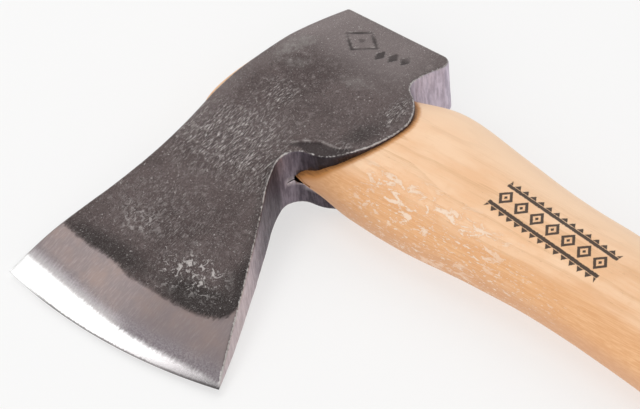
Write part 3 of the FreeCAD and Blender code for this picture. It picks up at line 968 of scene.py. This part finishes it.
def forged_steel():
    """Dark forge scale, rubbed bare and bright on the edges, with a ground band along the cutting edge;
    painted highlights and reflections on the rims, walls and honed strip, painted shade under the lug,
    below the fold, inside the eye and along the edge.
    """
    s = Shader("forged_steel")
    along_edge = s.split(s.place())[0]

    cloud = s.noise(0.055, 4.0, 0.6)
    mottle = s.noise(0.4, 5.0, 0.68)
    grit = s.noise(2.4, 3.0, 0.65)
    speck = s.noise(1.35, 5.0, 0.78)
    fine_speck = s.noise(3.4, 3.0, 0.7)
    strokes = s.noise((4.0, 0.52, 0.8), 3.0, 0.66, turn=0.04)
    flakes = s.noise(0.5, 5.0, 0.72, distort=0.8, turn=0.5)
    ragged = s.noise((1.9, 0.46, 0.5), 5.0, 0.74)
    drawn = s.noise((2.6, 0.3, 0.5), 4.0, 0.68)

    # the scale itself: warm near-black in soft clouds, rubbed and scratched in places
    rubbed = s.times("rubbed_zone", s.step(mottle, 0.3, 0.62))
    scratch_pits = s.times(s.step(strokes, 0.47, 0.38), "brushed_zone")
    scale = s.paint(
        (0.07, 0.052, 0.05),
        (s.step(cloud, 0.32, 0.68), (0.112, 0.086, 0.083)),
        (s.step(mottle, 0.5, 0.74), (0.205, 0.17, 0.165)),
        (s.step(grit, 0.47, 0.28), (0.018, 0.014, 0.014)),
        # painted shade along the beard's rim, mixed with patches of dark scale
        ("dark_zone", 0.85, (0.026, 0.021, 0.02)),
        # painted light: paler toward the poll, as if lit from behind, mixed with patches of paler scale
        ("pale_zone", 0.8, (0.235, 0.2, 0.196)),
        (rubbed, 0.75, (0.235, 0.215, 0.205)),
        (scratch_pits, 0.7, (0.022, 0.018, 0.018)))

    # bare metal, where it has been brushed, specked or flaked
    brush = s.times(s.step(strokes, 0.545, 0.6), s.step(mottle, 0.38, 0.5))
    brush = s.times(brush, s.line("brushed_zone", 0.72, 0.08))
    sparse = s.times(s.step(speck, 0.61, 0.655), s.step(cloud, 0.3, 0.5))
    dust = s.times(s.step(fine_speck, 0.6, 0.7), 0.62)
    flake = s.times(s.step(flakes, 0.535, 0.585), s.times("flaked_zone", 0.55))
    bare = s.larger(s.larger(brush, sparse), s.larger(dust, flake))

    # walls between the two sides: cooler, with upright streaks
    upright = s.noise((0.9, 0.9, 0.16), 4.0, 0.65)
    walls = s.blend(s.step(upright, 0.34, 0.66), (0.225, 0.185, 0.225), (0.43, 0.365, 0.42))
    # painted reflection and shade on the walls: lighter toward the heel and at the poll, as if mirroring
    # the bright floor, and near black under the lug, which is in shade
    for name, low, high, dark, light in (
            ("light_wall", 0.34, 0.66, (0.5, 0.41, 0.43), (0.68, 0.585, 0.6)),
            ("poll_wall", 0.34, 0.66, (0.43, 0.375, 0.455), (0.66, 0.59, 0.69)),
            ("lug_wall", 0.38, 0.68, (0.048, 0.037, 0.046), (0.125, 0.1, 0.122)),
            ("plain_wall", 0.34, 0.66, (0.135, 0.112, 0.11), (0.29, 0.25, 0.245))):
        walls = s.blend(name, walls, s.blend(s.step(upright, low, high), dark, light))

    # ground band with a ragged border, brushed from side to side
    ground = s.step(s.jitter("ground", ragged, 5.4), -0.8, 0.9)
    ground = s.times(ground, s.line("wall", -0.9, 1.0))
    toward_heel = s.step(along_edge, 20.0, 40.0)
    speckled = s.step(s.noise(2.3, 4.0, 0.75), 0.36, 0.66)
    # painted highlight: a hazy bright strip beside the honed strip, toward the toe
    hazy = s.step(s.jitter("honed", drawn, 3.0), -5.0, 0.4)
    hazy = s.times(hazy, s.step(toward_heel, 1.0, 0.0))
    band = s.paint(
        (0.225, 0.186, 0.184),
        (s.step(s.noise(0.1, 4.0, 0.6), 0.36, 0.66), (0.275, 0.21, 0.19)),
        (s.step(drawn, 0.44, 0.74), 0.7, (0.35, 0.3, 0.295)),
        (toward_heel, 0.45, (0.1, 0.08, 0.082)),
        (s.step(s.jitter("honed", ragged, 4.0), -7.5, -1.5), 0.75,
         s.blend(speckled, (0.12, 0.105, 0.118), (0.285, 0.26, 0.275))),
        (hazy, 0.62, (0.66, 0.63, 0.63)))

    # a bright line along the rims, bare metal with a painted highlight, broken where the scale still
    # holds
    wobble = s.noise(0.9, 4.0, 0.7)
    reach = s.line(wobble, 1.5, s.times("rim", -1.0))
    edge_line = s.times(s.step(reach, 0.05, 0.42), "edge_wear")

    # the honed strip: bright metal with a painted highlight, near white up to the edge at the toe and
    # duller toward the heel
    honed = s.step(s.jitter("honed", ragged, 3.6), -1.2, 0.7)
    shine = s.blend(s.step(along_edge, 14.0, 60.0), (0.97, 0.965, 0.96), (0.48, 0.455, 0.46))
    # painted shade: the last millimetres of the edge darken toward the heel, and a thin dark line runs
    # along the edge itself
    dull = s.times(s.step("edge_run", 2.2, 0.5), s.step(toward_heel, 0.2, 1.0))
    worn_edge = s.times(s.step(s.line(drawn, 1.3, "edge_run"), 1.55, 0.95), s.step(along_edge, -9.0, 8.0))

    colour = s.paint(
        scale,
        (bare, 0.9, (0.78, 0.735, 0.71)),
        ("wall", walls),
        # painted highlight along the rim of the eye's mouth
        ("mouth_line", (0.6, 0.53, 0.56)),
        # painted shade below the fold's step, and a painted highlight along its upper edge
        ("fold", 0.68, (0.03, 0.024, 0.025)),
        (s.times("fold_rim", s.step(mottle, 0.38, 0.6)), 0.8, (0.33, 0.3, 0.29)),
        ("stamp", 0.7, (0.016, 0.013, 0.013)),
        (s.times("stamp_rim", s.step(mottle, 0.4, 0.6)), (0.42, 0.385, 0.37)),
        (ground, band),
        (edge_line, (0.62, 0.59, 0.575)),
        # painted shade: the faces made by the cuts, inside the eye and the slit, are painted near black
        # as the dark of the gap
        ("cut_face", (0.008, 0.006, 0.006)),
        (honed, shine),
        (dull, 0.45, (0.22, 0.205, 0.21)),
        (worn_edge, 0.9, (0.1, 0.09, 0.09)))
    rough = s.mix(ground, s.line(mottle, 0.3, 0.34), s.line(drawn, 0.16, 0.34))
    rough = s.mix(honed, rough, 0.27)
    relief = s.line(bare, -0.45, s.line(grit, 0.45, mottle))
    relief = s.mix(ground, relief, s.times(drawn, 0.3))
    relief = s.mix(honed, relief, s.times(drawn, 0.06))
    return s.surface({"Base Color": colour, "Metallic": 0.82, "Roughness": rough}, relief, 0.75, 0.0003)


def hickory():
    """Pale oiled hickory, straight grained along the handle, with a burnt ornament; painted light on its
    back, painted shade on its front, its underside and beside the steel.
    """
    s = Shader("hickory")
    x, y, z = s.split(s.place())

    # growth rings lie nearly level, so the swell cuts them in long arches
    drift = s.noise((0.016, 0.09, 0.09), 3.0, 0.5)
    level = s.line(x, 0.006, s.line(y, 0.13, s.times(z, 0.52)))
    phase = s.math("FRACT", s.line(drift, 3.0, level))
    ring = s.times(s.step(phase, 0.45, 0.9), s.step(phase, 1.0, 0.93))
    fibre = s.noise((0.045, 2.2, 2.2), 5.0, 0.66)
    pores = s.noise((0.34, 5.2, 5.2), 2.0, 0.5)
    pores = s.times(s.step(pores, 0.685, 0.75), s.step(ring, 0.0, 0.5))
    blotch = s.noise((0.03, 0.09, 0.09), 4.0, 0.6)
    figure = s.noise(0.16, 4.0, 0.62)

    # the shaded front of the grip is darker and warmer, with a wandering border
    wander = s.noise((0.05, 0.35, 0.35), 4.0, 0.6)
    low = s.step(s.jitter("low_side", wander, 0.7), 0.15, 0.75)
    low_colour = s.blend(s.step(fibre, 0.38, 0.68), (0.74, 0.365, 0.155), (0.87, 0.5, 0.255))

    # fibres lifted from the grain, and short dashes where it is frayed
    torn = s.noise((0.15, 0.33, 0.33), 6.0, 0.7, distort=0.4)
    small = s.noise((0.5, 1.9, 1.9), 4.0, 0.7)
    dashes = s.times(s.step(small, 0.56, 0.64), "frayed")
    lifted = s.larger(s.times(s.step(torn, 0.55, 0.585), "chips"), dashes)

    # darker and browner beside the steel, most of all in the last line of wood, which is painted contact
    # shadow
    near = s.jitter("near_steel", fibre, 0.5)

    mark = burnt_ornament(s)
    colour = s.paint(
        (0.9, 0.545, 0.31),
        (s.step(blotch, 0.34, 0.66), (0.965, 0.655, 0.425)),
        (s.times(ring, s.step(fibre, 0.3, 0.62)), 0.5, (0.7, 0.405, 0.205)),
        (s.step(figure, 0.55, 0.72), 0.35, (0.84, 0.5, 0.27)),
        (s.step(fibre, 0.55, 0.78), 0.32, (0.66, 0.38, 0.19)),
        (pores, 0.6, (0.36, 0.18, 0.08)),
        (low, 0.85, low_colour),
        # painted light on the back of the handle
        ("back_side", 0.85, (1.0, 0.715, 0.49)),
        # painted shade on the underside of the front
        ("under_side", 0.5, (0.6, 0.33, 0.2)),
        (s.times(s.step(torn, 0.46, 0.54), "chips"), 0.45, (0.84, 0.43, 0.2)),
        (lifted, 0.75, (0.96, 0.8, 0.655)),
        (s.step(near, 0.15, 0.85), 0.85, (0.56, 0.235, 0.06)),
        # painted contact shadow in the last line of wood beside the steel
        (s.step(near, 0.75, 1.1), 0.75, (0.17, 0.065, 0.02)),
        ("end_grain", 0.6, (0.6, 0.33, 0.16)),
        (mark, 0.94, (0.018, 0.01, 0.008)))
    relief = s.line(pores, -0.8, s.times(fibre, 0.8))
    relief = s.line(mark, -1.4, s.line(lifted, 0.9, relief))
    return s.surface({"Base Color": colour, "Roughness": s.line(fibre, 0.2, 0.36),
                      "Specular IOR Level": 0.32}, relief, 0.4, 0.00028)


ORNAMENT_MIDDLE = (119.0, -4.2, 0.0)
ORNAMENT_TURN = -0.125
ORNAMENT_HALF = 21.6
LINE_AT = 4.3  # the two lines, out from the middle of the band
LOZENGE_PITCH = 6.2
TOOTH_FOOT = 5.1
TOOTH_TALL = 2.0
TOOTH_PITCH = 3.1


def burnt_ornament(s):
    """A band of lozenges between two lines with a row of teeth outside, on the upper side."""
    moved = s.add("VectorMath", {0: s.place(), 1: ORNAMENT_MIDDLE}, operation="SUBTRACT").outputs[0]
    length, across, _ = s.split(s.turned(moved, -ORNAMENT_TURN))
    ragged = s.line(s.noise(1.8, 3.0, 0.6), 0.7, -0.35)
    width = s.math("ABSOLUTE", across)

    def from_middle(pitch):
        """How far along from the middle of the nearest repeat, as a share of the pitch."""
        part = s.math("FRACT", s.line(length, 1.0 / pitch, 100.5))
        return s.math("ABSOLUTE", s.math("SUBTRACT", part, 0.5))

    lozenge = s.line(from_middle(LOZENGE_PITCH), 2.3, s.times(width, 0.31))
    lozenge = s.line(ragged, 0.2, lozenge)
    frame = s.times(s.step(lozenge, 1.03, 0.93), s.step(lozenge, 0.5, 0.6))
    heart = s.step(lozenge, 0.26, 0.18)
    line = s.math("ABSOLUTE", s.math("SUBTRACT", width, LINE_AT))
    line = s.step(s.plus(line, ragged), 0.78, 0.48)
    tooth = s.times(s.math("SUBTRACT", 0.5, from_middle(TOOTH_PITCH)), 2.0 * TOOTH_TALL)
    tooth = s.math("SUBTRACT", tooth, s.math("SUBTRACT", width, TOOTH_FOOT))
    tooth = s.step(s.plus(tooth, ragged), 0.25, 0.55)
    tooth = s.times(tooth, s.step(width, TOOTH_FOOT - 0.15, TOOTH_FOOT + 0.15))
    shape = s.larger(s.larger(frame, heart), s.larger(line, tooth))
    reach = s.plus(s.math("ABSOLUTE", length), ragged)
    inside = s.step(reach, ORNAMENT_HALF + 0.2, ORNAMENT_HALF - 0.2)
    return s.times(s.times(shape, inside), s.step(s.split(s.place())[2], 0.0, 1.0))


def wedge_wood():
    """Hardwood wedge, seen mostly on its sawn and crushed top."""
    s = Shader("wedge_wood")
    fibre = s.noise((0.05, 1.6, 1.6), 4.0, 0.6)
    speck = s.noise(2.4, 3.0, 0.6)
    colour = s.paint((0.36, 0.2, 0.1), (fibre, (0.58, 0.38, 0.22)),
                     (s.step(speck, 0.6, 0.7), (0.22, 0.12, 0.06)))
    return s.surface({"Base Color": colour, "Roughness": 0.62}, speck, 0.4, 0.0003)


def staple_steel():
    """Plain steel strip, bruised by the hammer and lightly tarnished."""
    s = Shader("staple_steel")
    tarnish = s.step(s.noise(0.7, 4.0, 0.6), 0.4, 0.65)
    marks = s.noise((4.0, 1.0, 4.0), 3.0, 0.6)
    colour = s.blend(tarnish, (0.48, 0.46, 0.44), (0.22, 0.19, 0.17))
    return s.surface({"Base Color": colour, "Metallic": 1.0, "Roughness": s.line(marks, 0.3, 0.25)},
                     marks, 0.3, 0.0002)


# ---- the four pieces

# Soft oval patches on the sides of the head: weight, middle x and y, two reaches, and turn.
PATCHES = {
    "pale_zone": [(0.30, 16.0, -28.0, 22.0, 15.0, 0.3)],
    "rubbed_zone": [
        (1.0, 8.5, 14.0, 8.5, 3.8, 1.05), (0.6, 13.0, 6.0, 6.0, 3.0, 0.4),
        (0.5, 34.0, 10.0, 9.0, 3.5, 0.3), (0.7, 7.0, 10.0, 4.5, 10.0, -0.15)],
    "brushed_zone": [
        (1.0, 15.0, -29.0, 26.0, 19.0, 0.5), (0.8, 17.0, -7.0, 9.0, 8.0, 0.0),
        (0.5, 30.0, -36.0, 16.0, 12.0, 0.0), (1.0, 52.5, 7.0, 5.0, 9.5, 0.0),
        (0.28, 16.0, -62.0, 26.0, 16.0, 0.0), (0.8, 48.0, -14.6, 4.5, 3.6, 0.0)],
    "flaked_zone": [
        (1.3, 36.5, -74.5, 15.5, 9.5, 0.35), (0.5, 46.0, -76.0, 9.0, 9.0, 0.0),
        (0.6, 11.0, -68.0, 11.0, 8.0, 0.0)],
    "dark_zone": [
        (1.25, 46.0, -81.5, 20.0, 8.5, -0.1), (0.9, 9.0, -81.5, 26.0, 7.0, 0.0),
        (0.6, 50.0, -6.0, 11.0, 5.0, 1.1), (0.75, 53.0, -71.0, 9.0, 15.0, 0.0)],
}


def zone(x, y, weight, middle_x, middle_y, reach, side_reach, turn):
    """The weight in the middle of a soft oval patch, 0 outside it."""
    across, up = x - middle_x, y - middle_y
    cosine, sine = math.cos(turn), math.sin(turn)
    first = (across * cosine + up * sine) / reach
    second = (up * cosine - across * sine) / side_reach
    return weight * fade(np.hypot(first, second), 0.25, 1.0)


def mark_wear(piece, x, y):
    """Where the scale is pale, rubbed, brushed, flaked or dark, with painted light toward the poll and
    painted shade along the beard's rim.
    """
    # painted light: the sides grow paler toward the poll
    pale = 0.75 * rise(y, 6.0, 26.0) * (1.0 - 0.5 * rise(x, 38.0, 50.0))
    pale += 0.45 * fade(rim_distance(x, y, UPPER_TOP_RIM), 1.0, 8.0) * rise(y, -50.0, -20.0)
    # painted shade: darker along the beard's rim, where the wall below it is in shade
    dark = 0.45 * fade(rim_distance(x, y, BEARD_RIM), 0.8, 4.0)
    wear = {"pale_zone": pale, "dark_zone": dark}
    for name, patches in PATCHES.items():
        total = wear.get(name, 0.0) + sum(zone(x, y, *patch) for patch in patches)
        wear[name] = np.clip(total, 0.0, 1.0)
    keep_values(piece, **wear)


def mark_head(piece, mouth):
    """Values that steer the wear, the grinding, the marks, and the painted light and shade on the head.
    """
    x, y, z = drawing_points(piece).T
    upper = z > 0.0
    run = edge_run(x, y)
    beard = rim_distance(x, y, BEARD_RIM)
    ground_wide = np.interp(x, GROUND_X, GROUND_WIDE) + 7.5 * np.exp(-beard / 2.3)
    side_gap = np.abs(np.abs(z) - half_thickness(x, y))
    # how strongly the rims show bare metal and a painted highlight, most on the lug and the notch
    worn = np.maximum(fade(rim_distance(x, y, LUG_RIM), 1.0, 5.0),
                      fade(rim_distance(x, y, NOTCH_RIM), 1.0, 5.0))
    shaded = np.interp(y, (-62.0, -47.0, -31.0, -28.5, -25.0, -21.0), (0.0, 0.75, 0.9, 0.35, 0.40, 1.0))
    near = (y > -30.0) & (y < 0.0) & (x > 30.0) & (z < 0.4)
    gap = np.full(x.shape, 9.0)
    gap[near] = nearest_distance(np.column_stack([x, y, z])[near], mouth)
    struck = stamps(x, y) * upper
    depth = below_fold(x, y)
    ends = between(x, 31.0, 35.0, 48.0, 54.0) * upper
    deep = np.interp(x, (33.0, 37.0, 39.5, 42.0), (0.4, 2.2, 4.0, 5.0))
    keep_values(
        piece,
        edge_run=run,
        ground=ground_wide - run,
        honed=np.interp(x, HONED_X, HONED_WIDE) - run,
        rim=np.maximum(outline_distance(x, y), side_gap),
        wall=fade(np.abs(read(piece.data.vertex_normals, "vector", 3)[:, 2]), 0.35, 0.75),
        edge_wear=0.50 + 0.50 * worn,
        # painted reflection toward the heel and at the poll, painted shade on the wall under the lug
        light_wall=rise(x - 0.35 * y, 55.0, 88.0),
        lug_wall=shaded * fade(y, 14.0, 20.0) * (x > 20.0),
        poll_wall=rise(y, 17.0, 24.0),
        plain_wall=fade(rim_distance(x, y, TOP_RIM), 1.0, 3.0),
        # painted highlight along the rim of the eye's mouth
        mouth_line=fade(gap, 0.10, 0.75),
        stamp=rise(struck, 0.35, 0.95),
        stamp_rim=between(struck, 0.02, 0.2, 0.25, 0.5),
        # painted shade below the fold's line and a painted highlight just above it
        fold=rise(depth, -0.3, 0.2) * fade(depth, deep - 0.4, deep + 0.5) * ends,
        fold_rim=np.exp(-((depth + 0.75) / 0.45) ** 2) * ends)
    mark_wear(piece, x, y)


def mark_handle(piece):
    """Values that steer the tones of the wood, its painted light and shade, and its torn fibres."""
    x, y, z = drawing_points(piece).T
    front, back, half = section_sizes(x)
    forward = ((front + back) / 2 - y) / ((back - front) / 2)
    low = rise(forward - 0.35 * z / half, 0.0, 0.85) * rise(x, 33.0, 40.0)
    torn = rise(forward, 0.22, 0.60) * (1.0 - 0.5 * rise(forward, 0.8, 0.98))
    keep_values(
        piece,
        low_side=np.clip(low + 0.35 * rise(x, 110.0, 150.0), 0.0, 1.0),
        near_steel=fade(rim_distance(x, y, MOUTH_RIM), 0.2, 3.0) * (x > 30.0),
        chips=between(x, 50.0, 66.0, 98.0, 124.0) * torn,
        # painted light on the back of the handle, above its lower side
        back_side=rise(-forward, 0.15, 0.75) * (z > -4.0),
        # painted shade on the underside of the front
        under_side=rise(forward, 0.80, 1.0) * rise(-z, -6.5, -1.0),
        frayed=between(x, 50.0, 64.0, 112.0, 150.0) * rise(forward, 0.55, 0.85),
        end_grain=np.abs(read(piece.data.vertex_normals, "vector", 3)[:, 0]) > 0.8)


MOUTH_FROM_X = 25.0  # the rest of the eye's rim is at the top of the head

head = cut(build_head(), [build_eye_tool(), build_slit_tool()])
mouth = cut_rim(head)
mark_head(head, mouth[mouth[:, 0] > MOUTH_FROM_X])
finish_piece(head, "head", forged_steel())

handle = cut(build_handle(), [build_kerf_tool(), build_staple_tool()])
mark_handle(handle)
finish_piece(handle, "handle", hickory())

wedge = cut(build_wedge(), [build_staple_tool()])
finish_piece(wedge, "eye_wedge", wedge_wood())

staple = build_staple("eye_staple_bar", 0.0, 0.0)
soften_staple(staple)
finish_piece(staple, "eye_staple", staple_steel())


# ---- floor, light, camera

def floor():
    """A wide white floor that glows a little, so that shadows on it stay pale."""
    mesh = bpy.data.meshes.new("floor")
    size = 6.0
    corners = [(-size, -size, 0.0), (size, -size, 0.0), (size, size, 0.0), (-size, size, 0.0)]
    mesh.from_pydata(corners, [], [(0, 1, 2, 3)])
    mesh.materials.append(Shader("white_floor").surface({
        "Base Color": (0.36, 0.36, 0.36), "Roughness": 0.75,
        "Emission Color": (1.0, 0.995, 0.99), "Emission Strength": 0.575}))
    add_object("floor", mesh)


def area_light(name, place, aim, size, power):
    light = bpy.data.lights.new(name, "AREA")
    light.shape = "RECTANGLE"
    light.size, light.size_y = size
    light.energy = power
    lamp = add_object(name, light)
    lamp.location = place
    lamp.rotation_euler = (Vector(aim) - Vector(place)).to_track_quat("-Z", "Y").to_euler()


VIEW_AZIMUTH = math.radians(39.0)
VIEW_ELEVATION = math.radians(43.0)
VIEW_DISTANCE = 0.724
VIEW_LENS = 132.86
VIEW_TARGET = (49.0, -28.0, 0.0)  # drawing frame


def camera():
    data = bpy.data.cameras.new("camera")
    data.lens = VIEW_LENS
    data.sensor_width = 36.0
    data.clip_start = 0.01
    shot = add_object("camera", data)
    back_off = Vector((math.sin(VIEW_AZIMUTH) * math.cos(VIEW_ELEVATION),
                       -math.cos(VIEW_AZIMUTH) * math.cos(VIEW_ELEVATION),
                       math.sin(VIEW_ELEVATION)))
    target = Vector(lay_down([VIEW_TARGET])[0])
    shot.location = target + back_off * VIEW_DISTANCE
    shot.rotation_euler = (-back_off).to_track_quat("-Z", "Y").to_euler()
    bpy.context.scene.camera = shot


def world():
    surroundings = bpy.data.worlds.new("studio")
    surroundings.use_nodes = True
    background = surroundings.node_tree.nodes["Background"]
    background.inputs["Color"].default_value = (1.0, 1.0, 1.0, 1.0)
    background.inputs["Strength"].default_value = 0.56
    bpy.context.scene.world = surroundings


floor()
middle = (cad_low + cad_high) / 2
area_light("key", (-0.66, 0.86, 1.02), middle, (1.0, 1.0), 4.2)
area_light("front_fill", (0.35, -1.1, 0.75), middle, (1.2, 0.8), 6.5)
area_light("overhead", (-0.67, -0.06, 1.07), middle, (0.62, 0.42), 2.4)
camera()
world()
bpy.context.scene.view_settings.view_transform = "Standard"
